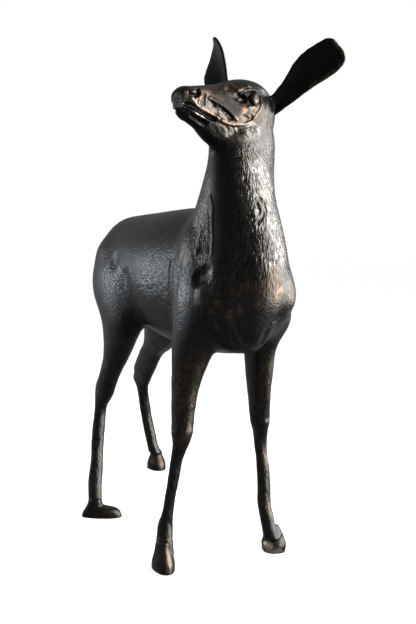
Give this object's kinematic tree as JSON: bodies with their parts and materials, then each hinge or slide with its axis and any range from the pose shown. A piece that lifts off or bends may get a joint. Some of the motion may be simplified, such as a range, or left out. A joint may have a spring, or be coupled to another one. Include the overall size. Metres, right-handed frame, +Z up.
{
  "type": "standing doe statue",
  "caption": "Life-size standing doe cast in aluminium in one piece, head turned to its right, standing free on its four hooves.",
  "frame": {"origin": "middle of the footprint box on the ground plane, z = 0 at the soles", "axes": "+Z up; the doe's body faces -Y, its right side is at -X, and its head is turned to its right"},
  "size_m": [0.4426, 1.115, 1.3033],
  "materials": {
    "patinated_aluminium": "dark brown-black patina, glossy, rubbed to silvery metal and warm bronze tones on the high places"
  },
  "bodies": {
    "root": {"doe": "patinated_aluminium"}
  },
  "joints": []
}
